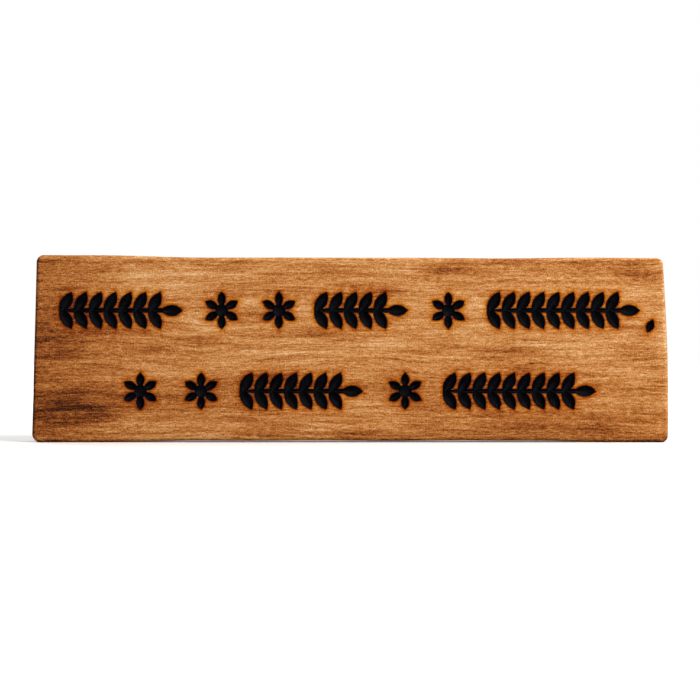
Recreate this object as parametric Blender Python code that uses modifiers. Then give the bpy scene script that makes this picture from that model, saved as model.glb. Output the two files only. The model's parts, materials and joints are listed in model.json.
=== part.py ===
# A wooden wall plaque: a stained board with routed ornament on its front, black enamel in
# the ornament, and a sawtooth hanger, two nails and two bumper pads on its back.
#
# X runs along the board, Y from its front to its back, and Z up. The origin is at the
# centre of the bottom edge, so the board stands on z = 0 and its front looks along -Y.

import math

import bmesh
import bpy
from mathutils import Matrix, Vector

# The board
BOARD_LENGTH = 0.400          # along the bottom edge
BOARD_HEIGHT = 0.116
BOARD_THICKNESS = 0.020
LEFT_LEAN = 0.0030            # how far the left end leans in at the top
RIGHT_LEAN = 0.0034           # the same for the right end
BOTTOM_LEFT_RADIUS = 0.0055
BOTTOM_RIGHT_RADIUS = 0.0040
TOP_RADIUS = 0.0042           # of both upper corners
CORNER_STEPS = 6
EDGE_EASE = 0.0022            # rounding of the front and back edges
EDGE_STEPS = 3

# The ornament
MARK_HEIGHT = 0.0235
UPPER_ROW_Z = 0.0828          # centre lines of the two rows
LOWER_ROW_Z = 0.0322
CUT_DEPTH = 0.0030
LEAF_STEPS = 4                # straight lengths along one side of a leaf
LEAF_PITCH = 0.0093           # from one pair of leaves to the next
LEAF_RUN = 0.0068             # how far a leaf's tip lies ahead of its root
LEAF_ROOT = 0.0034            # a leaf's width where it leaves the stem
LEAF_BELLY = 0.0028           # how far a leaf's side bows out
END_LEAF_LENGTH = 0.0125
STEM_WIDTH = 0.0030
ROSETTE_PETALS = 6
ROSETTE_VALLEY = 0.0037       # radius where two petals meet
PETAL_BELLY = 0.0019          # small enough to leave an open angle between two petals
BUD_LENGTH = 0.0088
BUD_BELLY = 0.0024
BUD_TILT = math.radians(70)

# Sprigs: name, centre along X, row height, pairs of leaves
SPRIGS = (
    ("upper_left", -0.1437, UPPER_ROW_Z, 7),
    ("upper_middle", 0.0070, UPPER_ROW_Z, 5),
    ("upper_right", 0.1340, UPPER_ROW_Z, 9),
    ("lower_left", -0.0305, LOWER_ROW_Z, 7),
    ("lower_right", 0.1063, LOWER_ROW_Z, 9),
)
# Rosettes: name, centre along X, row height
ROSETTES = (
    ("upper_left", -0.0805, UPPER_ROW_Z),
    ("upper_middle", -0.0446, UPPER_ROW_Z),
    ("upper_right", 0.0617, UPPER_ROW_Z),
    ("lower_left", -0.1315, LOWER_ROW_Z),
    ("lower_middle", -0.0934, LOWER_ROW_Z),
    ("lower_right", 0.0346, LOWER_ROW_Z),
)
BUD_X = 0.1868
BUD_DROP = 0.0138             # the bud's foot below the upper row's centre line

# The enamel
CLEARANCE = 0.0003            # between any two neighbouring pieces
ENAMEL_THICKNESS = 0.0012

# The sawtooth hanger
HANGER_Z = 0.0985
HANGER_LENGTH = 0.045
HANGER_HEIGHT = 0.010
HANGER_GAUGE = 0.0008         # thickness of the steel
HANGER_STAND_OFF = 0.0018     # how far the middle is pressed away from the board
HANGER_TAB = 0.0085           # length of the flat tab at each end
HANGER_RAMP = 0.0030          # length of each slope between tab and middle
TOOTH_COUNT = 9
TOOTH_PITCH = 0.0023
TOOTH_DEPTH = 0.0015

# The nails
NAIL_SPACING = 0.037
NAIL_LENGTH = 0.012
SHANK_RADIUS = 0.0008
POINT_LENGTH = 0.0018
POINT_RADIUS = 0.0002
HEAD_RADIUS = 0.0020
HEAD_THICKNESS = 0.0006
NAIL_STEPS = 16

# The bumper pads
BUMPER_SPACING = 0.360
BUMPER_Z = 0.0130
BUMPER_RADIUS = 0.0055
BUMPER_FACE_RADIUS = 0.0036   # of the flat that touches the wall
BUMPER_HEIGHT = 0.0034
BUMPER_STEPS = 32

SHARP_ANGLE = math.radians(40)  # edges sharper than this are shaded sharp
MERGE = 0.000001
FACING_FRONT = Matrix.Rotation(math.pi / 2, 4, "X")   # an outline's X-Y becomes X-Z
FACING_BACK = Matrix.Rotation(-math.pi / 2, 4, "X")   # a turned piece's Z becomes Y
BACK_Y = BOARD_THICKNESS / 2
FRONT_Y = -BACK_Y


def clear_scene():
    for old in list(bpy.data.objects):
        bpy.data.objects.remove(old, do_unlink=True)


def new_collection(name):
    collection = bpy.data.collections.new(name)
    bpy.context.scene.collection.children.link(collection)
    return collection


def principled(name, colour, roughness, metallic):
    material = bpy.data.materials.new(name)
    material.use_nodes = True
    shader = material.node_tree.nodes["Principled BSDF"]
    shader.inputs["Base Color"].default_value = (*colour, 1.0)
    shader.inputs["Roughness"].default_value = roughness
    shader.inputs["Metallic"].default_value = metallic
    material.diffuse_color = (*colour, 1.0)
    return material


# Flat outlines. Every outline is a list of 2D vectors that runs anticlockwise.

def rounded_corner(before, corner, after, radius, drawn_in):
    # The arc that rounds one corner of a polygon, or one about the same centre that lies inside it.
    to_before = (before - corner).normalized()
    to_after = (after - corner).normalized()
    half_angle = to_before.angle(to_after) / 2
    centre = corner + (to_before + to_after).normalized() * (radius / math.sin(half_angle))
    tangent_length = radius / math.tan(half_angle)
    start = corner + to_before * tangent_length - centre
    end = corner + to_after * tangent_length - centre
    turn = start.angle_signed(end)
    start *= 1 - drawn_in / radius
    return [centre + Matrix.Rotation(-turn * step / CORNER_STEPS, 2) @ start
            for step in range(CORNER_STEPS + 1)]


def board_outline(drawn_in):
    half = BOARD_LENGTH / 2
    corners = (
        (Vector((-half, 0.0)), BOTTOM_LEFT_RADIUS),
        (Vector((half, 0.0)), BOTTOM_RIGHT_RADIUS),
        (Vector((half - RIGHT_LEAN, BOARD_HEIGHT)), TOP_RADIUS),
        (Vector((-half + LEFT_LEAN, BOARD_HEIGHT)), TOP_RADIUS),
    )
    outline = []
    for index, (corner, radius) in enumerate(corners):
        before = corners[index - 1][0]
        after = corners[(index + 1) % len(corners)][0]
        outline += rounded_corner(before, corner, after, radius, drawn_in)
    return outline


def leaf_side(start, end, belly):
    # One bowed side of a leaf, from its start up to the point before its end.
    chord = end - start
    outward = Vector((chord.y, -chord.x)).normalized()
    points = []
    for step in range(LEAF_STEPS):
        along = step / LEAF_STEPS
        points.append(start + chord * along + outward * (belly * 4 * along * (1 - along)))
    return points


def sprig_outline(pairs):
    # A stem along +X with pairs of leaves and an end leaf, centred on the origin.
    length = pairs * LEAF_PITCH + END_LEAF_LENGTH
    side = -STEM_WIDTH / 2
    lower = [Vector((-length / 2, 0.0))]
    for pair in range(pairs):
        root = (pair + 0.12) * LEAF_PITCH - length / 2
        near = Vector((root, side))
        tip = Vector((root + LEAF_RUN, -MARK_HEIGHT / 2))
        far = Vector((root + LEAF_ROOT, side))
        lower += leaf_side(near, tip, LEAF_BELLY) + leaf_side(tip, far, LEAF_BELLY) + [far]
    end_root = Vector((length / 2 - END_LEAF_LENGTH, side))
    lower += leaf_side(end_root, Vector((length / 2, 0.0)), LEAF_BELLY)
    upper = [Vector((point.x, -point.y)) for point in reversed(lower[1:])]
    return lower + [Vector((length / 2, 0.0))] + upper


def rosette_outline():
    turn = math.tau / ROSETTE_PETALS
    outline = []
    for petal in range(ROSETTE_PETALS):
        angle = math.pi / 2 + petal * turn
        valley = polar(ROSETTE_VALLEY, angle - turn / 2)
        tip = polar(MARK_HEIGHT / 2, angle)
        next_valley = polar(ROSETTE_VALLEY, angle + turn / 2)
        outline += leaf_side(valley, tip, PETAL_BELLY)
        outline += leaf_side(tip, next_valley, PETAL_BELLY)
    return outline


def bud_outline():
    root = Vector((0.0, 0.0))
    tip = polar(BUD_LENGTH, BUD_TILT)
    return leaf_side(root, tip, BUD_BELLY) + leaf_side(tip, root, BUD_BELLY)


def polar(radius, angle):
    return Vector((radius * math.cos(angle), radius * math.sin(angle)))


def moved(outline, x, z):
    return [point + Vector((x, z)) for point in outline]


def inset(outline, distance):
    # The outline moved inwards by the same distance all round, with its corners kept.
    points = []
    for index, corner in enumerate(outline):
        into = (corner - outline[index - 1]).normalized()
        out = (outline[(index + 1) % len(outline)] - corner).normalized()
        normals = Vector((-into.y, into.x)) + Vector((-out.y, out.x))
        points.append(corner + normals * (2 * distance / normals.length_squared))
    return points


# Solids

def place(name, mesh, matrix, collection, material=None):
    solid = bpy.data.objects.new(name, mesh)
    solid.matrix_world = matrix
    collection.objects.link(solid)
    if material:
        mesh.materials.clear()
        mesh.materials.append(material)
    return solid


def extruded(name, outline, depth, matrix, collection, material=None):
    # A closed solid from a flat outline, with half of its depth to each side of it.
    curve = bpy.data.curves.new(name, "CURVE")
    curve.dimensions = "2D"
    curve.fill_mode = "BOTH"
    curve.extrude = depth / 2
    spline = curve.splines.new("POLY")
    spline.points.add(len(outline) - 1)
    for spline_point, point in zip(spline.points, outline):
        spline_point.co = (point.x, point.y, 0.0, 1.0)
    spline.use_cyclic_u = True
    guide = bpy.data.objects.new(name + "_outline", curve)
    guide.matrix_world = matrix
    collection.objects.link(guide)
    depsgraph = bpy.context.evaluated_depsgraph_get()
    mesh = bpy.data.meshes.new_from_object(guide.evaluated_get(depsgraph))
    bpy.data.objects.remove(guide, do_unlink=True)
    weld(mesh)
    return place(name, mesh, matrix, collection, material)


def weld(mesh):
    work = bmesh.new()
    work.from_mesh(mesh)
    bmesh.ops.remove_doubles(work, verts=work.verts, dist=MERGE)
    bmesh.ops.recalc_face_normals(work, faces=work.faces)
    work.to_mesh(mesh)
    work.free()


def turned(name, profile, steps, matrix, collection, material):
    # A round solid about local Z. The profile runs down its outer side, top to bottom.
    mesh = bpy.data.meshes.new(name)
    work = bmesh.new()
    previous = None
    for radius, height in profile:
        corner = work.verts.new((radius, 0.0, height))
        if previous:
            work.edges.new((previous, corner))
        previous = corner
    work.to_mesh(mesh)
    work.free()
    solid = place(name, mesh, matrix, collection, material)
    screw = solid.modifiers.new("turn", "SCREW")
    screw.axis = "Z"
    screw.steps = steps
    screw.render_steps = steps
    screw.use_merge_vertices = True
    screw.merge_threshold = MERGE
    screw.use_smooth_shade = True
    return solid


def drill(name, radius, depth, matrix, cutters):
    # A round cutter along local Z, centred on its origin.
    mesh = bpy.data.meshes.new(name)
    work = bmesh.new()
    bmesh.ops.create_cone(work, cap_ends=True, segments=NAIL_STEPS, radius1=radius,
                          radius2=radius, depth=depth)
    work.to_mesh(mesh)
    work.free()
    return as_cutter(place(name, mesh, matrix, cutters))


def as_cutter(solid):
    solid.hide_render = True
    solid.display_type = "WIRE"
    return solid


def subtract(solid, collection):
    cut = solid.modifiers.new("cut", "BOOLEAN")
    cut.operation = "DIFFERENCE"
    cut.solver = "EXACT"
    cut.operand_type = "COLLECTION"
    cut.collection = collection


def shade(solid):
    solid.data.shade_smooth()
    solid.data.set_sharp_from_angle(angle=SHARP_ANGLE)


def marks():
    # Every connected mark of the ornament: its name and its outline on the board's face.
    for name, x, z, pairs in SPRIGS:
        yield "sprig_" + name, moved(sprig_outline(pairs), x, z)
    for name, x, z in ROSETTES:
        yield "rosette_" + name, moved(rosette_outline(), x, z)
    yield "bud_upper_right", moved(bud_outline(), BUD_X, UPPER_ROW_Z - BUD_DROP)


def nail_places():
    return (("left", -NAIL_SPACING / 2), ("right", NAIL_SPACING / 2))


def eased_board(name, collection, material):
    # Rings of the outline from back to front, drawn in more as the rounded edge turns onto a face
    half = BOARD_THICKNESS / 2
    turns = [math.pi / 2 * step / EDGE_STEPS for step in range(EDGE_STEPS + 1)]
    levels = [(-1, turn) for turn in reversed(turns)] + [(1, turn) for turn in turns]
    work = bmesh.new()
    rings = []
    for side, turn in levels:
        height = side * (half - EDGE_EASE * (1 - math.sin(turn)))
        outline = board_outline(EDGE_EASE * (1 - math.cos(turn)))
        rings.append([work.verts.new((point.x, point.y, height)) for point in outline])
    strips = []
    for lower, upper in zip(rings, rings[1:]):
        for index in range(len(lower)):
            strips.append(work.faces.new((lower[index - 1], lower[index], upper[index], upper[index - 1])))
    work.faces.new(reversed(rings[0]))
    work.faces.new(rings[-1])
    bmesh.ops.triangulate(work, faces=strips)
    mesh = bpy.data.meshes.new(name)
    work.to_mesh(mesh)
    work.free()
    weld(mesh)
    return place(name, mesh, FACING_FRONT, collection, material)


def add_board(parts, cutters, material):
    board = eased_board("plaque_board", parts, material)
    overlap = 0.001           # how far the cutters stand out of the face they cut
    depth = CUT_DEPTH + overlap
    middle = FRONT_Y + CUT_DEPTH - depth / 2
    for name, outline in marks():
        matrix = Matrix.Translation((0.0, middle, 0.0)) @ FACING_FRONT
        as_cutter(extruded("cut_" + name, outline, depth, matrix, cutters))
    hole_depth = NAIL_LENGTH
    for name, x in nail_places():
        matrix = Matrix.Translation((x, BACK_Y + overlap - hole_depth / 2, HANGER_Z)) @ FACING_BACK
        drill("nail_hole_" + name, SHANK_RADIUS + CLEARANCE, hole_depth, matrix, cutters)
    subtract(board, cutters)
    shade(board)


def add_enamel(parts, material):
    middle = FRONT_Y + CUT_DEPTH - CLEARANCE - ENAMEL_THICKNESS / 2
    matrix = Matrix.Translation((0.0, middle, 0.0)) @ FACING_FRONT
    for name, outline in marks():
        fill = inset(outline, CLEARANCE)
        shade(extruded("enamel_" + name, fill, ENAMEL_THICKNESS, matrix, parts, material))


def hanger_outline():
    # The strip seen from above: flat tabs, slopes and a middle that stands off the board.
    half = HANGER_LENGTH / 2
    slope_start = half - HANGER_TAB
    slope_end = slope_start - HANGER_RAMP
    back = BACK_Y + CLEARANCE
    slant = math.hypot(HANGER_RAMP, HANGER_STAND_OFF)
    shift = HANGER_GAUGE * (slant - HANGER_RAMP) / HANGER_STAND_OFF   # keeps the slope's gauge
    right = [
        Vector((slope_end, back + HANGER_STAND_OFF)),
        Vector((slope_start, back)),
        Vector((half, back)),
        Vector((half, back + HANGER_GAUGE)),
        Vector((slope_start + shift, back + HANGER_GAUGE)),
        Vector((slope_end + shift, back + HANGER_STAND_OFF + HANGER_GAUGE)),
    ]
    left = [Vector((-point.x, point.y)) for point in reversed(right)]
    return right + left


def tooth_outline(x):
    bottom = HANGER_Z - HANGER_HEIGHT / 2
    below = 0.0005            # how far the cutter starts below the edge
    half_gap = TOOTH_PITCH * 0.42
    top = Vector((x, bottom + TOOTH_DEPTH))
    widen = half_gap * (1 + below / TOOTH_DEPTH)
    return [Vector((x - widen, bottom - below)), Vector((x + widen, bottom - below)), top]


def add_hanger(parts, cutters, material):
    hanger = extruded("sawtooth_hanger", hanger_outline(), HANGER_HEIGHT,
                      Matrix.Translation((0.0, 0.0, HANGER_Z)), parts, material)
    middle_y = BACK_Y + HANGER_STAND_OFF
    for tooth in range(TOOTH_COUNT):
        x = (tooth - (TOOTH_COUNT - 1) / 2) * TOOTH_PITCH
        matrix = Matrix.Translation((0.0, middle_y, 0.0)) @ FACING_FRONT
        as_cutter(extruded(f"tooth_gap_{tooth + 1}", tooth_outline(x), HANGER_LENGTH / 4, matrix, cutters))
    for name, x in nail_places():
        matrix = Matrix.Translation((x, middle_y, HANGER_Z)) @ FACING_BACK
        drill("hanger_hole_" + name, SHANK_RADIUS + CLEARANCE, HANGER_LENGTH / 4, matrix, cutters)
    subtract(hanger, cutters)
    shade(hanger)


def add_nails(parts, material):
    # Local Z runs out of the board, and z = 0 is the underside of the head.
    profile = [
        (0.0, HEAD_THICKNESS),
        (HEAD_RADIUS * 0.7, HEAD_THICKNESS * 0.85),
        (HEAD_RADIUS, HEAD_THICKNESS * 0.4),
        (HEAD_RADIUS, 0.0),
        (SHANK_RADIUS, 0.0),
        (SHANK_RADIUS, POINT_LENGTH - NAIL_LENGTH),
        (POINT_RADIUS, -NAIL_LENGTH),
        (0.0, -NAIL_LENGTH),
    ]
    seat = BACK_Y + 2 * CLEARANCE + HANGER_GAUGE
    for name, x in nail_places():
        matrix = Matrix.Translation((x, seat, HANGER_Z)) @ FACING_BACK
        turned("hanger_nail_" + name, profile, NAIL_STEPS, matrix, parts, material)


def add_bumpers(parts, material):
    profile = [
        (0.0, BUMPER_HEIGHT),
        (BUMPER_FACE_RADIUS, BUMPER_HEIGHT),
        (BUMPER_FACE_RADIUS + 0.0008, BUMPER_HEIGHT - 0.0003),
        (BUMPER_RADIUS - 0.0004, BUMPER_HEIGHT * 0.6),
        (BUMPER_RADIUS, BUMPER_HEIGHT * 0.3),
        (BUMPER_RADIUS, 0.0),
        (0.0, 0.0),
    ]
    for name, x in (("left", -BUMPER_SPACING / 2), ("right", BUMPER_SPACING / 2)):
        matrix = Matrix.Translation((x, BACK_Y + CLEARANCE, BUMPER_Z)) @ FACING_BACK
        turned("bumper_pad_" + name, profile, BUMPER_STEPS, matrix, parts, material)


def build():
    clear_scene()
    parts = new_collection("wooden_plaque")
    board_cutters = new_collection("board_cutters")
    hanger_cutters = new_collection("hanger_cutters")
    wood = principled("stained_wood", (0.46, 0.17, 0.038), 0.5, 0.0)
    enamel = principled("black_enamel", (0.006, 0.006, 0.008), 0.35, 0.0)
    zinc = principled("zinc_plated_steel", (0.62, 0.61, 0.58), 0.35, 1.0)
    nail_steel = principled("bright_nail_steel", (0.50, 0.49, 0.47), 0.4, 1.0)
    rubber = principled("black_rubber", (0.02, 0.02, 0.02), 0.8, 0.0)
    add_board(parts, board_cutters, wood)
    add_enamel(parts, enamel)
    add_hanger(parts, hanger_cutters, zinc)
    add_nails(parts, nail_steel)
    add_bumpers(parts, rubber)


build()
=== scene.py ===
# A wooden wall plaque on a pale floor: a stained board with gouged leaf and flower marks,
# black enamel brushed into them, and hanging hardware on its back.
# Everything is in metres, with the board's front towards -Y and the floor at z = 0.

import json
import math

import bmesh
import bpy
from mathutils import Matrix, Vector, noise
from mathutils.bvhtree import BVHTree

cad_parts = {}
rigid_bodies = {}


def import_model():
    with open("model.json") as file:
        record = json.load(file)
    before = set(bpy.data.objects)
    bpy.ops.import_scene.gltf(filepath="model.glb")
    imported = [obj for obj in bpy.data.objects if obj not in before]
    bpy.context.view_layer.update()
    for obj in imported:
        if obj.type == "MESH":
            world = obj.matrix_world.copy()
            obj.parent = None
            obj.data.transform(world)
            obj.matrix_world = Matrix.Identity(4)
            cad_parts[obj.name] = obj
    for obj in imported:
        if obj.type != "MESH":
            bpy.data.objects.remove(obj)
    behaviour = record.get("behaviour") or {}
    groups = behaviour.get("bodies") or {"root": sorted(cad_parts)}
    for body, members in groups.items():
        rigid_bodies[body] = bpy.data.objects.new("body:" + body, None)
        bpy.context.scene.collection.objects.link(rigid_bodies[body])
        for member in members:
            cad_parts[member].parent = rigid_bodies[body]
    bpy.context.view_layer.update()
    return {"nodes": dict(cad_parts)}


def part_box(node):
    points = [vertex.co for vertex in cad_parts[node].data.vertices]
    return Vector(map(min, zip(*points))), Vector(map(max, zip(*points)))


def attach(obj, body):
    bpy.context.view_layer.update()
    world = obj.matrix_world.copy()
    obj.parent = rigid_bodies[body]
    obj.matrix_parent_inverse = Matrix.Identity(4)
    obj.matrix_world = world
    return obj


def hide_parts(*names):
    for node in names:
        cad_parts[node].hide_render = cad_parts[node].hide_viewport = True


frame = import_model()
boardLow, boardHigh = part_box("plaque_board")
boardSize = boardHigh - boardLow
boardCentre = (boardLow + boardHigh) / 2
frontY = boardLow.y
weldDistance = 0.000002         # points nearer than this are one point


# Small tools

def mix(low, high, share):
    return low + (high - low) * share


def smoothStep(low, high, value):
    share = min(max((value - low) / (high - low), 0.0), 1.0)
    return share * share * (3 - 2 * share)


def hexColour(code):
    # sRGB hex to the linear colour that a shader takes
    channels = [int(code[start:start + 2], 16) / 255 for start in (1, 3, 5)]
    linear = [c / 12.92 if c <= 0.04045 else ((c + 0.055) / 1.055) ** 2.4 for c in channels]
    return (*linear, 1.0)


def addPiece(name, work, material, replaced, smoothAngle=40):
    # Turns finished mesh work into an object that rides on the frame's one body.
    mesh = bpy.data.meshes.new(name)
    work.to_mesh(mesh)
    work.free()
    mesh.shade_smooth()
    mesh.set_sharp_from_angle(angle=math.radians(smoothAngle))
    piece = bpy.data.objects.new(name, mesh)
    bpy.context.scene.collection.objects.link(piece)
    mesh.materials.append(material)
    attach(piece, "root")
    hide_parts(*replaced)
    return piece


def looseObject(name, work, collection):
    # Triangles only, because a boolean can't rely on a bent face with four or more sides
    bmesh.ops.triangulate(work, faces=work.faces[:])
    mesh = bpy.data.meshes.new(name)
    work.to_mesh(mesh)
    work.free()
    loose = bpy.data.objects.new(name, mesh)
    collection.objects.link(loose)
    return loose


def turnOutward(work):
    # The normals are brought up to date first, because moving the points leaves them stale.
    work.normal_update()
    bmesh.ops.recalc_face_normals(work, faces=work.faces[:])
    if work.calc_volume(signed=True) < 0:
        bmesh.ops.reverse_faces(work, faces=work.faces[:])


def isClosed(work):
    # One body, right side out, with two faces at every edge
    if not work.faces or work.calc_volume(signed=True) <= 0:
        return False
    if any(len(edge.link_faces) != 2 for edge in work.edges):
        return False
    seen = {work.verts[:][0]}
    waiting = list(seen)
    while waiting:
        for edge in waiting.pop().link_edges:
            for vert in edge.verts:
                if vert not in seen:
                    seen.add(vert)
                    waiting.append(vert)
    return len(seen) == len(work.verts)


def booleanResult(base, operation, operands, accept=isClosed):
    # The mesh of one object joined with, or cut by, every object in a collection. Surfaces that
    # only just touch can spoil it, so it is tried again with the operands a few microns aside.
    modifier = base.modifiers.new(operation, "BOOLEAN")
    modifier.operation = operation
    modifier.solver = "EXACT"
    modifier.operand_type = "COLLECTION"
    modifier.collection = operands
    for nudge in (0.0, 0.000003, -0.000004, 0.000007, -0.000009):
        for operand in operands.objects:
            operand.location = (nudge, 0.0, nudge * 0.7)
        bpy.context.view_layer.update()
        depsgraph = bpy.context.evaluated_depsgraph_get()
        work = bmesh.new()
        work.from_mesh(base.evaluated_get(depsgraph).to_mesh())
        if accept(work):
            return work
        print("boolean on", base.name, "tried again, nudge", nudge)
        work.free()
    raise RuntimeError(f"no closed result for the boolean on {base.name}")


def dropCollection(collection):
    for leftover in list(collection.objects):
        bpy.data.objects.remove(leftover, do_unlink=True)
    bpy.data.collections.remove(collection)


def newCollection(name):
    collection = bpy.data.collections.new(name)
    bpy.context.scene.collection.children.link(collection)
    return collection


# Shader tools

def newMaterial(name):
    material = bpy.data.materials.new(name)
    material.use_nodes = True
    return material, material.node_tree, material.node_tree.nodes["Principled BSDF"]


def addNode(tree, kind, settings=(), links=()):
    # Settings named like a property set it, and any other key is an input's value.
    node = tree.nodes.new(kind)
    for key, value in dict(settings).items():
        if isinstance(key, str) and hasattr(node, key):
            setattr(node, key, value)
        else:
            node.inputs[key].default_value = value
    for key, source in dict(links).items():
        tree.links.new(source, node.inputs[key])
    return node


def addRamp(tree, source, stops, output="Color"):
    # A colour ramp from (position, colour or grey level) stops
    node = addNode(tree, "ShaderNodeValToRGB", {}, {"Fac": source})
    elements = node.color_ramp.elements
    while len(elements) < len(stops):
        elements.new(0.5)
    for element, (place, value) in zip(elements, stops):
        element.position = place
        element.color = value if isinstance(value, tuple) else (value, value, value, 1.0)
    return node.outputs[output]


def grainNoise(tree, place, perMetre, detail=2.0, roughness=0.5, distortion=0.0, offset=(0, 0, 0)):
    # Noise stretched by its own number of features per metre along X, Y and Z
    mapping = addNode(tree, "ShaderNodeMapping", {"Scale": perMetre, "Location": offset}, {"Vector": place})
    texture = addNode(tree, "ShaderNodeTexNoise",
                      {"Scale": 1.0, "Detail": detail, "Roughness": roughness, "Distortion": distortion},
                      {"Vector": mapping.outputs["Vector"]})
    return texture.outputs["Fac"]


def blendColour(tree, factor, below, above, blendType="MIX"):
    node = addNode(tree, "ShaderNodeMix", {"data_type": "RGBA", "blend_type": blendType})
    for index, source in ((0, factor), (6, below), (7, above)):
        if isinstance(source, bpy.types.NodeSocket):
            tree.links.new(source, node.inputs[index])
        else:
            node.inputs[index].default_value = source
    return node.outputs[2]


def calculate(tree, operation, *values, clamp=False):
    node = addNode(tree, "ShaderNodeMath", {"operation": operation, "use_clamp": clamp})
    for index, source in enumerate(values):
        if isinstance(source, bpy.types.NodeSocket):
            tree.links.new(source, node.inputs[index])
        else:
            node.inputs[index].default_value = source
    return node.outputs[0]


def swungLevel(tree, level, *sources):
    # A level that each (source, weight) swings up and down about the source's middle of one half
    for source, weight in sources:
        level = calculate(tree, "MULTIPLY_ADD", calculate(tree, "SUBTRACT", source, 0.5), weight, level)
    return level


def mapRange(tree, source, fromLow, fromHigh, toLow=0.0, toHigh=1.0):
    settings = {"interpolation_type": "SMOOTHSTEP", "From Min": fromLow, "From Max": fromHigh,
                "To Min": toLow, "To Max": toHigh}
    return addNode(tree, "ShaderNodeMapRange", settings, {"Value": source}).outputs["Result"]


# Materials

stain = {
    # From the palest wood to the deepest stain
    "colours": ["#e6bd92", "#d29d65", "#c4864a", "#ad6a30", "#914e1e", "#6a3410", "#351506"],
    "start": 0.35,              # depth of stain in the middle of the board
    "leftEndStainAndShade": 0.22,            # how much darker the left end is, partly deeper stain and partly painted shade
    "lowerEdge": 0.13,          # and how much darker it is towards the lower edge
    "rim": 0.30,                # and on the left and lower rims, partly gathered stain and partly painted shade, and paler on the right and upper ones, a painted highlight
    # Patches: centre along X, height, half length, half height, how much deeper
    "patches": [
        (-0.168, 0.022, 0.050, 0.016, 0.20),
        (-0.182, 0.068, 0.040, 0.014, 0.07),
        (-0.176, 0.097, 0.040, 0.012, 0.07),
        (0.150, 0.013, 0.075, 0.006, 0.16),
        (0.090, 0.057, 0.110, 0.005, 0.12),
        (0.062, 0.109, 0.026, 0.005, 0.14),
        (0.180, 0.107, 0.020, 0.007, 0.09),
        (0.186, 0.044, 0.022, 0.020, 0.05),
    ],
}


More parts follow.
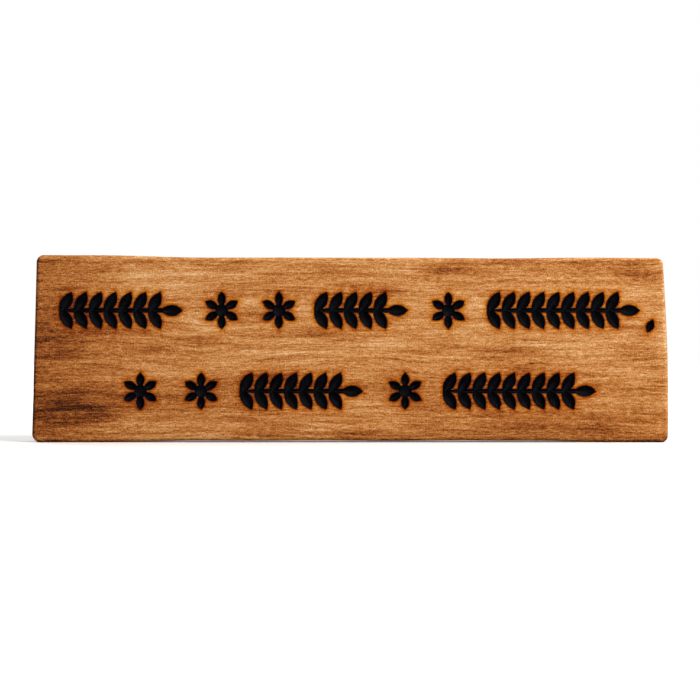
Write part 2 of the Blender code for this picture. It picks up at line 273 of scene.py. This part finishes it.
def stainedWood():
    # Pale fine-grained wood, planed, hand sanded and wiped with a golden brown oil stain that sinks in
    # unevenly; most patterns here make it deeper or paler, but the darker left end and left and lower rims
    # are partly painted shade, and the paler right and upper rims a painted highlight.
    material, tree, shader = newMaterial("sanded_wood_with_brown_oil_stain")
    place = addNode(tree, "ShaderNodeTexCoord").outputs["Object"]
    drift = grainNoise(tree, place, (8, 25, 28), detail=2)          # the grain wanders up and down
    lift = calculate(tree, "MULTIPLY", calculate(tree, "SUBTRACT", drift, 0.5), 0.014)
    wander = addNode(tree, "ShaderNodeCombineXYZ", {}, {"Z": lift})
    bent = addNode(tree, "ShaderNodeVectorMath", {"operation": "ADD"},
                   {0: place, 1: wander.outputs[0]}).outputs[0]

    figure = grainNoise(tree, bent, (8, 40, 50), detail=3, roughness=0.55)      # broad wavy figure
    bands = grainNoise(tree, bent, (24, 200, 260), detail=3, roughness=0.6)     # growth lines
    streaks = grainNoise(tree, bent, (45, 750, 850), detail=3, offset=(2, 5, 1))        # long fibres
    flecks = grainNoise(tree, bent, (260, 1000, 1100), detail=2, offset=(7, 1, 4))      # short fibres
    sanding = grainNoise(tree, place, (1100, 1100, 1100), detail=2, offset=(3, 8, 6))   # sanded nap
    fibres = grainNoise(tree, bent, (900, 2600, 3000), detail=3, roughness=0.7)         # torn fibres
    pores = mapRange(tree, grainNoise(tree, bent, (170, 1000, 1150), detail=1, offset=(5, 2, 9)), 0.64, 0.80)
    along = addNode(tree, "ShaderNodeSeparateXYZ", {}, {"Vector": place})
    # Darker towards the left end: partly deeper stain, partly painted shade
    leftEndStainAndShade = mapRange(tree, along.outputs["X"], -0.120, -0.192)
    lowerEdge = mapRange(tree, along.outputs["Z"], 0.056, 0.026)
    depth = calculate(tree, "MULTIPLY_ADD", leftEndStainAndShade, stain["leftEndStainAndShade"], stain["start"])
    depth = calculate(tree, "MULTIPLY_ADD", lowerEdge, stain["lowerEdge"], depth)
    depth = calculate(tree, "MULTIPLY_ADD", pores, 0.35, depth)
    depth = swungLevel(tree, depth, (figure, 0.70), (bands, 0.70), (streaks, 0.72), (flecks, 0.85),
                       (sanding, 0.90), (fibres, 0.35))
    ragged = addRamp(tree, grainNoise(tree, bent, (30, 160, 200), detail=3), [(0.35, 0.3), (0.6, 1.5)])
    for x, z, halfLength, halfHeight, deeper in stain["patches"]:
        mapping = addNode(tree, "ShaderNodeMapping", {
            "vector_type": "TEXTURE", "Location": (x, frontY, z), "Scale": (halfLength, 1.0, halfHeight)},
            {"Vector": bent})
        patch = addNode(tree, "ShaderNodeTexGradient", {"gradient_type": "SPHERICAL"},
                        {"Vector": mapping.outputs["Vector"]}).outputs["Fac"]
        depth = calculate(tree, "MULTIPLY_ADD", calculate(tree, "MULTIPLY", patch, ragged), deeper, depth)

    # The left and lower rims are darkened, partly stain gathered where the cloth missed and partly painted
    # shade; the right and upper rims are paled, a painted highlight.
    rim = addNode(tree, "ShaderNodeAttribute", {"attribute_name": "rim"}).outputs["Fac"]
    depth = calculate(tree, "MULTIPLY_ADD", rim, stain["rim"], depth)
    shares = [index / (len(stain["colours"]) - 1) for index in range(len(stain["colours"]))]
    colour = addRamp(tree, depth, [(share, hexColour(code)) for share, code in zip(shares, stain["colours"])])

    # The iron that burned the edges of the cuts turned the wood a deep orange.
    scorch = addNode(tree, "ShaderNodeAttribute", {"attribute_name": "scorch"}).outputs["Fac"]
    raggedness = grainNoise(tree, bent, (150, 500, 550), detail=3, roughness=0.6)
    uneven = addRamp(tree, raggedness, [(0.3, 0.45), (0.7, 1.0)])
    scorch = calculate(tree, "MULTIPLY", calculate(tree, "MULTIPLY", scorch, uneven), 1.45, clamp=True)
    tint = addRamp(tree, scorch, [
        (0.0, (1.0, 1.0, 1.0, 1.0)),
        (0.04, (0.98, 0.93, 0.87, 1.0)),
        (0.08, (0.96, 0.87, 0.73, 1.0)),
        (0.14, (0.93, 0.79, 0.55, 1.0)),
        (0.25, (0.88, 0.68, 0.32, 1.0)),
        (0.43, (0.83, 0.56, 0.11, 1.0)),
        (0.65, (0.64, 0.36, 0.03, 1.0)),
        (1.0, (0.34, 0.12, 0.01, 1.0)),
    ])
    colour = blendColour(tree, 1.0, colour, tint, "MULTIPLY")
    tree.links.new(colour, shader.inputs["Base Color"])

    relief = swungLevel(tree, 0.5, (streaks, 0.6), (flecks, 0.8), (fibres, 0.6), (pores, 0.5))
    bump = addNode(tree, "ShaderNodeBump", {"Strength": 0.35, "Distance": 0.0002, "invert": True},
                   {"Height": relief})
    tree.links.new(bump.outputs["Normal"], shader.inputs["Normal"])
    tree.links.new(addRamp(tree, bands, [(0.3, 0.50), (0.7, 0.64)]), shader.inputs["Roughness"])
    shader.inputs["Specular IOR Level"].default_value = 0.08
    return material


def blackEnamel():
    # Thick satin black paint, brushed into the cuts, so it dries with a fine pebbled grain. Its colour is
    # blackest in the pits, a painted shade, and faintly blue on the raised grain, a painted sheen.
    material, tree, shader = newMaterial("brushed_black_enamel_paint")
    place = addNode(tree, "ShaderNodeTexCoord").outputs["Object"]
    grains = grainNoise(tree, place, (1000, 1000, 1000), detail=3, roughness=0.6)
    patches = grainNoise(tree, place, (160, 160, 160), detail=2)
    level = swungLevel(tree, 0.5, (grains, 1.3), (patches, 0.7))
    # Painted shade in the pits and a painted bluish sheen on the raised grain
    colour = addRamp(tree, level, [(0.38, hexColour("#000001")), (0.75, hexColour("#0b0e15"))])
    tree.links.new(colour, shader.inputs["Base Color"])
    tree.links.new(addRamp(tree, patches, [(0.3, 0.42), (0.7, 0.58)]), shader.inputs["Roughness"])
    bump = addNode(tree, "ShaderNodeBump", {"Strength": 1.0, "Distance": 0.0004}, {"Height": grains})
    tree.links.new(bump.outputs["Normal"], shader.inputs["Normal"])
    shader.inputs["Specular IOR Level"].default_value = 0.045
    return material


def zincPlate():
    # Pressed steel strip with a thin zinc coat: soft rolling lines and cloudy spots
    material, tree, shader = newMaterial("zinc_plated_pressed_steel")
    place = addNode(tree, "ShaderNodeTexCoord").outputs["Object"]
    lines = grainNoise(tree, place, (60, 4000, 4000), detail=3)
    clouds = grainNoise(tree, place, (300, 300, 300), detail=3)
    colour = addRamp(tree, clouds, [(0.3, hexColour("#b4b3ab")), (0.7, hexColour("#d2d1c8"))])
    tree.links.new(colour, shader.inputs["Base Color"])
    tree.links.new(addRamp(tree, lines, [(0.3, 0.28), (0.7, 0.46)]), shader.inputs["Roughness"])
    shader.inputs["Metallic"].default_value = 1.0
    bump = addNode(tree, "ShaderNodeBump", {"Strength": 0.3, "Distance": 0.00004}, {"Height": lines})
    tree.links.new(bump.outputs["Normal"], shader.inputs["Normal"])
    return material


def nailSteel():
    # Bright drawn wire with hammer-dulled heads
    material, tree, shader = newMaterial("bright_drawn_steel_wire")
    place = addNode(tree, "ShaderNodeTexCoord").outputs["Object"]
    scuffs = grainNoise(tree, place, (1800, 1800, 1800), detail=4, roughness=0.7)
    colour = addRamp(tree, scuffs, [(0.3, hexColour("#8f8c86")), (0.7, hexColour("#c2c0ba"))])
    tree.links.new(colour, shader.inputs["Base Color"])
    tree.links.new(addRamp(tree, scuffs, [(0.3, 0.3), (0.7, 0.55)]), shader.inputs["Roughness"])
    shader.inputs["Metallic"].default_value = 1.0
    bump = addNode(tree, "ShaderNodeBump", {"Strength": 0.3, "Distance": 0.00005}, {"Height": scuffs})
    tree.links.new(bump.outputs["Normal"], shader.inputs["Normal"])
    return material


def mouldedRubber():
    # Matt black rubber with the fine pitting of its mould and a little dust
    material, tree, shader = newMaterial("matt_moulded_black_rubber")
    place = addNode(tree, "ShaderNodeTexCoord").outputs["Object"]
    pits = grainNoise(tree, place, (2500, 2500, 2500), detail=2)
    dust = grainNoise(tree, place, (400, 400, 400), detail=4, roughness=0.7)
    colour = addRamp(tree, dust, [(0.45, hexColour("#1b1b1c")), (0.8, hexColour("#3a3937"))])
    tree.links.new(colour, shader.inputs["Base Color"])
    tree.links.new(addRamp(tree, dust, [(0.3, 0.62), (0.8, 0.85)]), shader.inputs["Roughness"])
    bump = addNode(tree, "ShaderNodeBump", {"Strength": 0.4, "Distance": 0.00008}, {"Height": pits})
    tree.links.new(bump.outputs["Normal"], shader.inputs["Normal"])
    return material


def paleFloor():
    # Matt white paper. Bounced light takes a grey darker than the paper the camera sees, and to the camera
    # the floor glows, a painted glow that lifts its shadow near the board and turns full white further out.
    material, tree, shader = newMaterial("white_paper_floor_with_painted_glow")
    place = addNode(tree, "ShaderNodeTexCoord").outputs["Object"]
    seen = addNode(tree, "ShaderNodeLightPath").outputs["Is Camera Ray"]
    tooth = grainNoise(tree, place, (900, 900, 900), detail=3)
    paper = addRamp(tree, tooth, [(0.3, hexColour("#f4f4f3")), (0.7, hexColour("#f9f9f8"))])
    tree.links.new(blendColour(tree, seen, hexColour("#b4b4b2"), paper), shader.inputs["Base Color"])
    # A painted glow that only the camera sees: faint by the board, where it lifts the floor's shadow, and
    # full white further out
    distance = addNode(tree, "ShaderNodeVectorMath", {"operation": "LENGTH"}, {0: place}).outputs["Value"]
    paintedGlow = calculate(tree, "MULTIPLY", mapRange(tree, distance, 0.5, 1.4, 0.08, 1.0), seen)
    tree.links.new(paintedGlow, shader.inputs["Emission Strength"])
    shader.inputs["Emission Color"].default_value = hexColour("#ffffff")
    shader.inputs["Roughness"].default_value = 0.9
    shader.inputs["Specular IOR Level"].default_value = 0.1
    return material


# The gouged ornament

cut = {
    "depth": 0.0027,            # of a leaf at its deepest
    "stemDepth": 0.0015,
    "clear": 0.0010,            # how far a cutter stands out of the board's face
    "markHeight": 0.0235,
    "leafPitch": 0.0093,
    "leafRun": 0.0068,          # how far a leaf's tip lies ahead of its root
    "leafRoot": 0.0034,
    "leafBelly": 0.0028,
    "firstLeaf": 0.12,          # share of a pitch before the first pair
    "overrun": 0.0004,          # how far a leaf's root runs past the stem's centre line
    "endLeaf": 0.0125,
    "stemWidth": 0.0030,
    "petals": 6,
    "petalRoot": 0.36,          # half the width of a petal's root, as a share of the turn between petals
    "valley": 0.0037,           # radius where two petals meet
    "petalBelly": 0.0019,
    "budBelly": 0.0024,
    "budRoot": 0.0003,          # half the width of the bud's blunt root
    "wobble": 0.00018,          # how far the hand-led edge strays
    "alongSteps": 12,
    "acrossSteps": 8,
}


def bowed(start, end, belly, share):
    # A point on a bowed side of a leaf, in X and Z
    chord = end - start
    outward = Vector((chord.y, -chord.x)).normalized()
    return start + chord * share + outward * (belly * 4 * share * (1 - share))


def wobble(work):
    # The edges stray a little, as a hand-led cutter leaves them.
    for vert in work.verts:
        stray = noise.noise_vector(Vector((vert.co.x, 0.0, vert.co.z)) * 420) * cut["wobble"]
        vert.co += Vector((stray.x, 0.0, stray.z))


def gouge(name, near, far, depth, collection):
    # A closed cutter under two edges: a rounded bottom between them and a flat top above the face
    work = bmesh.new()
    bmesh.ops.create_grid(work, x_segments=cut["alongSteps"], y_segments=cut["acrossSteps"], size=0.5)
    for vert in work.verts:
        along = vert.co.x + 0.5
        across = 2 * vert.co.y
        side = math.sin(across * math.pi / 2)      # closer steps where the wall is steep
        edgePoint = near(along).lerp(far(along), (side + 1) / 2)
        sink = depth(along) * (1 - abs(side) ** 2.2)
        vert.co = Vector((edgePoint.x, frontY + sink, edgePoint.y))
    lid = bmesh.ops.extrude_face_region(work, geom=work.faces[:])["geom"]
    for vert in (element for element in lid if isinstance(element, bmesh.types.BMVert)):
        vert.co.y = frontY - cut["clear"]
    bmesh.ops.remove_doubles(work, verts=work.verts[:], dist=weldDistance)
    bmesh.ops.dissolve_degenerate(work, edges=work.edges[:], dist=0.000001)
    wobble(work)
    turnOutward(work)
    return looseObject(name, work, collection)


def leafDepth(along):
    return cut["depth"] * math.sin(math.pi * (0.15 + 0.85 * along)) ** 0.6 if along < 1 else 0.0


def addLeaf(centre, nearRoot, tip, farRoot, belly, collection):
    gouge("leaf",
          lambda share: centre + bowed(nearRoot, tip, belly, share),
          lambda share: centre + bowed(farRoot, tip, -belly, share),
          leafDepth, collection)


def sprigCutters(low, high, collection):
    # Pairs of leaves on a stem, as many as fit between the enamel's two ends
    length = high.x - low.x
    pairs = round((length - cut["endLeaf"]) / cut["leafPitch"])
    length = pairs * cut["leafPitch"] + cut["endLeaf"]
    centre = Vector(((low.x + high.x) / 2, (low.z + high.z) / 2))
    half = cut["stemWidth"] / 2
    stemEnd = length / 2 - cut["endLeaf"] * 0.8
    gouge("stem",
          lambda share: centre + Vector((mix(-length / 2, stemEnd, share), -half * min(1, share * 8))),
          lambda share: centre + Vector((mix(-length / 2, stemEnd, share), half * min(1, share * 8))),
          lambda share: cut["stemDepth"] * min(1, share * 8), collection)
    reach = half + cut["overrun"]                  # roots run on past the stem's centre line
    back = -reach * cut["leafRun"] / (cut["markHeight"] / 2)
    for pair in range(pairs):
        root = (pair + cut["firstLeaf"]) * cut["leafPitch"] - length / 2
        for side in (-1, 1):
            tip = Vector((root + cut["leafRun"], side * cut["markHeight"] / 2))
            nearRoot = Vector((root + back, -side * cut["overrun"]))
            farRoot = nearRoot + Vector((cut["leafRoot"], 0.0))
            addLeaf(centre, nearRoot, tip, farRoot, -side * cut["leafBelly"], collection)
    endRoot = length / 2 - cut["endLeaf"]
    addLeaf(centre, Vector((endRoot, -half)), Vector((length / 2, 0.0)), Vector((endRoot, half)),
            cut["leafBelly"], collection)


def rosetteCutters(low, high, collection):
    centre = Vector(((low.x + high.x) / 2, (low.z + high.z) / 2))
    turn = math.tau / cut["petals"]
    for petal in range(cut["petals"]):
        angle = math.pi / 2 + petal * turn
        spread = turn * cut["petalRoot"]           # the hub joins the roots, which stay clear of each other
        nearRoot = Vector((math.cos(angle - spread), math.sin(angle - spread))) * cut["valley"]
        tip = Vector((math.cos(angle), math.sin(angle))) * cut["markHeight"] / 2
        farRoot = Vector((math.cos(angle + spread), math.sin(angle + spread))) * cut["valley"]
        addLeaf(centre, nearRoot, tip, farRoot, cut["petalBelly"], collection)
    work = bmesh.new()
    bmesh.ops.create_uvsphere(work, u_segments=24, v_segments=12, radius=1.0)
    radius = cut["valley"] + 0.0004
    for vert in work.verts:
        vert.co = Vector((centre.x + vert.co.x * radius, frontY + vert.co.z * cut["depth"] * 0.8,
                          centre.y + vert.co.y * radius))
    turnOutward(work)
    looseObject("hub", work, collection)


def budCutters(low, high, collection):
    root = Vector((low.x + 0.0004, low.z - 0.0004))
    tip = Vector((high.x - 0.0004, high.z + 0.0004))
    blunt = Vector((cut["budRoot"], 0.0))          # the side that bows right starts on the right
    addLeaf(Vector((0.0, 0.0)), root + blunt, tip, root - blunt, cut["budBelly"], collection)


def makeMarkCutters(cutters):
    # One closed cutter for each enamel node, named cut_ and then the node's name
    kinds = (("enamel_sprig", sprigCutters), ("enamel_rosette", rosetteCutters), ("enamel_bud", budCutters))
    for node in sorted(frame["nodes"]):
        for start, makeCutters in kinds:
            if not node.startswith(start):
                continue
            pieces = newCollection("gouges")
            makeCutters(*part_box(node), pieces)
            base = pieces.objects[0]
            if len(pieces.objects) > 1:
                pieces.objects.unlink(base)
                bpy.context.scene.collection.objects.link(base)
                work = booleanResult(base, "UNION", pieces)
            else:
                work = bmesh.new()
                work.from_mesh(base.data)
            looseObject("cut_" + node, work, cutters)
            bpy.data.objects.remove(base, do_unlink=True)
            dropCollection(pieces)


# The board

board = {
    "bottomLeftRadius": 0.0055,
    "bottomRightRadius": 0.0040,
    "topRadius": 0.0042,        # of both upper corners
    "leftLean": 0.0030,
    "rightLean": 0.0034,
    "ease": 0.0024,             # rounding of the front and back edges
    "fineStep": 0.0009,         # mesh step across the rows of marks
    "plainStep": 0.0045,        # mesh step elsewhere
    "paintedRimHighlight": 0.45,               # how far the right and upper rims are paled, a painted highlight
    "scorchReach": 0.0011,
    "margin": 0.0035,           # fine mesh beyond a row of marks
    "snap": 0.00005,            # a corner this near a slice is moved onto it, so no sliver is left
    "rimBand": 0.004,           # from the edge to the first slice, and to where the edge's waves end
    "leftBand": 0.006,          # first and last slices from the ends
    "rightBand": 0.008,
    "leftRise": 0.0016,         # how far sanding and seasoning have bowed the outline
    "topDip": 0.0005,
    "bottomRise": 0.0010,
    "endSwell": 0.0013,
    "edgeWaves": 0.00022,
    "faceWaves": 0.00010,
}


def sliceAlong(work, faces, axis, places):
    # Cuts the faces with planes across one axis, in rising order
    normal = Vector((0.0, 0.0, 0.0))
    normal[axis] = 1.0
    rest = list({element for face in faces for element in (face, *face.edges, *face.verts)})
    for place in places:
        point = normal * place
        result = bmesh.ops.bisect_plane(work, geom=rest, dist=board["snap"], plane_co=point, plane_no=normal)
        keep = set()
        for element in result["geom"]:
            if isinstance(element, bmesh.types.BMFace) and element.calc_center_bounds()[axis] > place:
                keep.add(element)
                keep.update(element.edges)
                keep.update(element.verts)
        rest = list(keep)


def steps(low, high, step):
    count = max(1, round((high - low) / step))
    return [mix(low, high, index / count) for index in range(count + 1)]


def rowBands():
    # The heights between which the marks lie, lowest first
    boxes = [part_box(node) for node in frame["nodes"] if node.startswith("enamel_sprig")]
    bands = sorted({(round(low.z, 4), round(high.z, 4)) for low, high in boxes})
    return [(low - board["margin"], high + board["margin"]) for low, high in bands]


def boardBody():
    work = bmesh.new()
    bmesh.ops.create_cube(work, size=1.0)
    for vert in work.verts:
        vert.co = boardCentre + Vector([share * side for share, side in zip(vert.co, boardSize)])
        if vert.co.z > boardCentre.z:
            vert.co.x += -board["rightLean"] if vert.co.x > 0 else board["leftLean"]
    radii = {(False, False): board["bottomLeftRadius"], (True, False): board["bottomRightRadius"],
             (False, True): board["topRadius"], (True, True): board["topRadius"]}
    for (right, top), radius in radii.items():
        corner = [edge for edge in work.edges
                  if abs(edge.verts[0].co.y - edge.verts[1].co.y) > boardSize.y / 2
                  and (edge.verts[0].co.x > 0) == right and (edge.verts[0].co.z > boardCentre.z) == top
                  and len(edge.link_faces) == 2 and edge.calc_face_angle() > 1.2]
        bmesh.ops.bevel(work, geom=corner, offset=radius, segments=8, profile=0.5,
                        affect="EDGES", material=-1)
    rims = [edge for edge in work.edges
            if abs(edge.verts[0].co.y - edge.verts[1].co.y) < 0.0001 and edge.calc_face_angle() > 1.2]
    bmesh.ops.bevel(work, geom=rims, offset=board["ease"], segments=6, profile=0.5,
                    affect="EDGES", material=-1)
    turnOutward(work)
    return work


def refineFront(work):
    # A fine mesh where the marks are, so that the scorching round them can be stored in it
    heights = []
    floor = boardLow.z + board["rimBand"]
    for low, high in rowBands():
        heights += steps(floor, low, board["plainStep"])[1:-1] + steps(low, high, board["fineStep"])
        floor = high
    heights += steps(floor, boardHigh.z - board["rimBand"], board["plainStep"])[1:]
    columns = steps(boardLow.x + board["leftBand"], boardHigh.x - board["rightBand"], board["fineStep"])
    for axis, places in ((2, heights), (0, columns)):
        # All but the flat back, and with the strips of its rim, which would bend if left whole
        sides = [face for face in work.faces if face.normal.y < 0.999]
        sliceAlong(work, sides, axis, places)


def sandedShape(work):
    # Hand sanding leaves the outline a little bowed and the faces a little uneven.
    for vert in work.verts:
        x, y, z = vert.co
        up = (z - boardLow.z) / boardSize.z
        bowTop = board["leftRise"] * smoothStep(-0.085, -0.165, x)
        bowTop -= board["topDip"] * math.exp(-((x - 0.094) / 0.03) ** 2)
        bowBottom = board["bottomRise"] * smoothStep(-0.170, -0.090, x) * smoothStep(0.185, 0.110, x)
        swell = board["endSwell"] * math.sin(math.pi * up) * smoothStep(0.185, 0.200, x)
        waves = noise.noise(Vector((x * 22, y * 10, z * 22))) * board["edgeWaves"]
        inside = min(x - boardLow.x, boardHigh.x - x, z - boardLow.z, boardHigh.z - z)
        edge = smoothStep(0.0, board["rimBand"], inside)
        vert.co.z += bowTop * smoothStep(0.75, 1.0, up) + bowBottom * smoothStep(0.15, 0.0, up)
        vert.co.z += waves * (1 - edge) * (1 if up > 0.5 else -1)
        vert.co.x += swell + waves * (1 - edge)
        vert.co.z = max(vert.co.z, boardLow.z)
        if y < boardCentre.y:
            vert.co.y += noise.noise(Vector((x * 30, 3.0, z * 45))) * board["faceWaves"] * edge


def edgeDistances(x, z):
    # How far a point of the front lies inside the left, right, lower and upper edges
    up = (z - boardLow.z) / boardSize.z
    return (x - boardLow.x - board["leftLean"] * up, boardHigh.x - board["rightLean"] * up - x,
            z - boardLow.z, boardHigh.z - z)


def markRimStainShadeAndHighlight(mesh):
    # rim: 1 on the left and lower rims, partly stain and partly painted shade, and below 0 on the right and
    # upper ones, a painted highlight.
    rim = mesh.attributes.new("rim", "FLOAT", "POINT")
    for vert, item in zip(mesh.vertices, rim.data):
        left, right, lower, upper = (max(gap, 0.0) for gap in edgeDistances(vert.co.x, vert.co.z))
        stainedAndShadedRim = max(smoothStep(board["ease"], 0.0, left), smoothStep(board["ease"], 0.0, lower))
        paintedRimHighlight = max(smoothStep(board["ease"], 0.0, right), smoothStep(board["ease"], 0.0, upper))
        item.value = stainedAndShadedRim - board["paintedRimHighlight"] * paintedRimHighlight * (1 - stainedAndShadedRim)


def markScorch(mesh, cutters):
    # How scorched each point is, from the distance to the nearest cut
    joined = bmesh.new()
    for cutter in cutters.objects:
        joined.from_mesh(cutter.data)
    tree = BVHTree.FromBMesh(joined)
    joined.free()
    scorch = mesh.attributes.new("scorch", "FLOAT", "POINT")
    for vert, item in zip(mesh.vertices, scorch.data):
        distance = 1.0
        if vert.co.y < frontY + cut["depth"] + 0.0005:
            distance = tree.find_nearest(vert.co)[3]
        item.value = math.exp(-distance / board["scorchReach"])


def everyMarkIsCut(work, cutters):
    # Nothing of the board stands in front of its face, and every mark has a floor deep below it.
    if min(vert.co.y for vert in work.verts) < frontY - cut["clear"] / 2:
        return False
    shallow = frontY + cut["stemDepth"] / 2
    deep = frontY + cut["depth"] * 1.2
    sunk = [vert.co for vert in work.verts if shallow < vert.co.y < deep]
    for cutter in cutters.objects:
        xs = [vert.co.x for vert in cutter.data.vertices]
        zs = [vert.co.z for vert in cutter.data.vertices]
        if not any(min(xs) < point.x < max(xs) and min(zs) < point.z < max(zs) for point in sunk):
            return False
    return True


def makeBoard(material, cutters):
    work = boardBody()
    refineFront(work)
    sandedShape(work)
    print("board mesh before cutting:", len(work.faces), "faces")
    blank = looseObject("board_blank", work, bpy.context.scene.collection)
    cutWork = booleanResult(blank, "DIFFERENCE", cutters,
                            lambda result: isClosed(result) and everyMarkIsCut(result, cutters))
    bpy.data.objects.remove(blank, do_unlink=True)
    piece = addPiece("carved_board", cutWork, material, ["plaque_board"])
    markScorch(piece.data, cutters)
    markRimStainShadeAndHighlight(piece.data)
    return piece


# The enamel

paint = {"gap": 0.00002, "thickness": 0.00014, "belowFace": 0.00004}


def makeEnamel(material, node, cutter):
    # A skin of paint over the whole inside of one mark
    work = bmesh.new()
    work.from_mesh(cutter.data)
    rim = Vector((0.0, frontY + paint["belowFace"], 0.0))
    bmesh.ops.bisect_plane(work, geom=work.verts[:] + work.edges[:] + work.faces[:], dist=0.0000001,
                           plane_co=rim, plane_no=Vector((0.0, -1.0, 0.0)), clear_outer=True)
    work.normal_update()
    for vert in work.verts:
        vert.co -= vert.normal * paint["gap"]
    bmesh.ops.solidify(work, geom=work.faces[:], thickness=paint["thickness"])
    for vert in work.verts:
        vert.co.y = max(vert.co.y, rim.y)      # no paint stands proud of the face
    turnOutward(work)
    return addPiece(node.replace("enamel", "paint"), work, material, [node], 60)


# The hardware on the back

def makeHanger(material):
    work = bmesh.new()
    work.from_mesh(bpy.data.objects["sawtooth_hanger"].data)
    bmesh.ops.remove_doubles(work, verts=work.verts[:], dist=weldDistance)
    bmesh.ops.dissolve_limit(work, angle_limit=math.radians(2), verts=work.verts[:], edges=work.edges[:])
    sharp = [edge for edge in work.edges if len(edge.link_faces) == 2 and edge.calc_face_angle() > 0.9]
    bmesh.ops.bevel(work, geom=sharp, offset=0.00008, segments=2, profile=0.5, affect="EDGES", material=-1)
    return addPiece("pressed_hanger", work, material, ["sawtooth_hanger"])


def spun(profile, centre, angleSteps):
    # A closed turned body about the Y direction through a centre, from (radius, distance along Y) points
    work = bmesh.new()
    verts = [work.verts.new((radius, along, 0.0)) for radius, along in profile]
    edges = [work.edges.new(pair) for pair in zip(verts, verts[1:])]
    bmesh.ops.spin(work, geom=verts + edges, cent=(0, 0, 0), axis=(0, 1, 0), angle=math.tau,
                   steps=angleSteps, use_merge=True)
    bmesh.ops.remove_doubles(work, verts=work.verts[:], dist=weldDistance)
    turnOutward(work)
    bmesh.ops.translate(work, verts=work.verts[:], vec=centre)
    return work


def makeNail(side, material):
    node = "hanger_nail_" + side
    low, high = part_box(node)
    centre = Vector(((low.x + high.x) / 2, 0.0, (low.z + high.z) / 2))
    head = (high.x - low.x) / 2
    shank = head * 0.4
    work = spun([
        (0.0, high.y), (head * 0.5, high.y - 0.00003), (head * 0.8, high.y - 0.0001),
        (head * 0.96, high.y - 0.00022), (head, high.y - 0.00036), (head * 0.97, high.y - 0.00052),
        (head * 0.9, high.y - 0.0006), (shank, high.y - 0.0006),
        (shank, low.y + 0.0018), (shank * 0.2, low.y), (0.0, low.y),
    ], centre, 32)
    return addPiece("wire_nail_" + side, work, material, [node])


def makeBumper(side, material):
    node = "bumper_pad_" + side
    low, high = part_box(node)
    centre = Vector(((low.x + high.x) / 2, 0.0, (low.z + high.z) / 2))
    radius = (high.x - low.x) / 2
    height = high.y - low.y
    face = 0.0036
    profile = [(0.0, high.y), (face, high.y)]
    for step in range(1, 9):
        angle = math.pi / 2 * step / 8
        profile.append((mix(face, radius, math.sin(angle)),
                        mix(high.y - height * 0.75, high.y, math.cos(angle))))
    profile += [(radius, low.y + 0.0002), (radius - 0.0002, low.y), (0.0, low.y)]
    work = spun(profile, centre, 48)
    return addPiece("rubber_bumper_" + side, work, material, [node])


# Camera, floor and light

view = {
    "lens": 100,
    "sensor": 36,
    "width": 0.4391,            # of what the camera sees at the board's front
}


def makeCamera():
    lensData = bpy.data.cameras.new("camera")
    lensData.lens = view["lens"]
    lensData.sensor_width = view["sensor"]
    lensData.clip_start = 0.01
    camera = bpy.data.objects.new("camera", lensData)
    distance = view["width"] * view["lens"] / view["sensor"]
    camera.location = (boardCentre.x, frontY - distance, boardCentre.z)
    camera.rotation_euler = (math.pi / 2, 0.0, 0.0)
    bpy.context.scene.collection.objects.link(camera)
    bpy.context.scene.camera = camera


def makeFloor():
    work = bmesh.new()
    bmesh.ops.create_grid(work, x_segments=8, y_segments=8, size=6.0)
    mesh = bpy.data.meshes.new("floor")
    work.to_mesh(mesh)
    work.free()
    mesh.materials.append(paleFloor())
    floor = bpy.data.objects.new("floor", mesh)
    floor.location.z = min(boardLow.z, 0.0)
    bpy.context.scene.collection.objects.link(floor)


def makeLight(name, position, target, size, power, colour="#ffffff"):
    lamp = bpy.data.lights.new(name, "AREA")
    lamp.shape = "DISK"
    lamp.size = size
    lamp.energy = power
    lamp.color = hexColour(colour)[:3]
    light = bpy.data.objects.new(name, lamp)
    light.location = position
    light.rotation_euler = (Vector(target) - Vector(position)).to_track_quat("-Z", "Y").to_euler()
    bpy.context.scene.collection.objects.link(light)


def makeWorld():
    # White to the camera, a softer white as light
    world = bpy.data.worlds.new("studio")
    world.use_nodes = True
    tree = world.node_tree
    background = tree.nodes["Background"]
    seen = addNode(tree, "ShaderNodeLightPath").outputs["Is Camera Ray"]
    strength = addNode(tree, "ShaderNodeMapRange", {"To Min": 0.18, "To Max": 1.0}, {"Value": seen})
    tree.links.new(strength.outputs["Result"], background.inputs["Strength"])
    background.inputs["Color"].default_value = hexColour("#ffffff")
    bpy.context.scene.world = world
    bpy.context.scene.view_settings.view_transform = "Standard"


makeCamera()
makeWorld()
makeFloor()
middle = boardCentre
makeLight("key", (1.30, -1.00, 1.30), middle, 0.8, 40, "#fffaf4")
makeLight("fill", (-0.20, -1.80, 0.95), middle, 1.2, 14, "#f6f9ff")
makeLight("top", (0.30, 0.30, 1.65), middle, 1.2, 8)
makeLight("back_fill", (-0.90, 1.30, 0.90), middle, 1.0, 14)
print("camera, floor and light made")

cutters = newCollection("mark_cutters")
makeMarkCutters(cutters)
makeBoard(stainedWood(), cutters)
print("board cut")
enamel = blackEnamel()
for cutter in list(cutters.objects):
    makeEnamel(enamel, cutter.name.removeprefix("cut_"), cutter)
dropCollection(cutters)
print("enamel made")
makeHanger(zincPlate())
nailMetal = nailSteel()
rubber = mouldedRubber()
for side in ("left", "right"):
    makeNail(side, nailMetal)
    makeBumper(side, rubber)
print("hardware made")
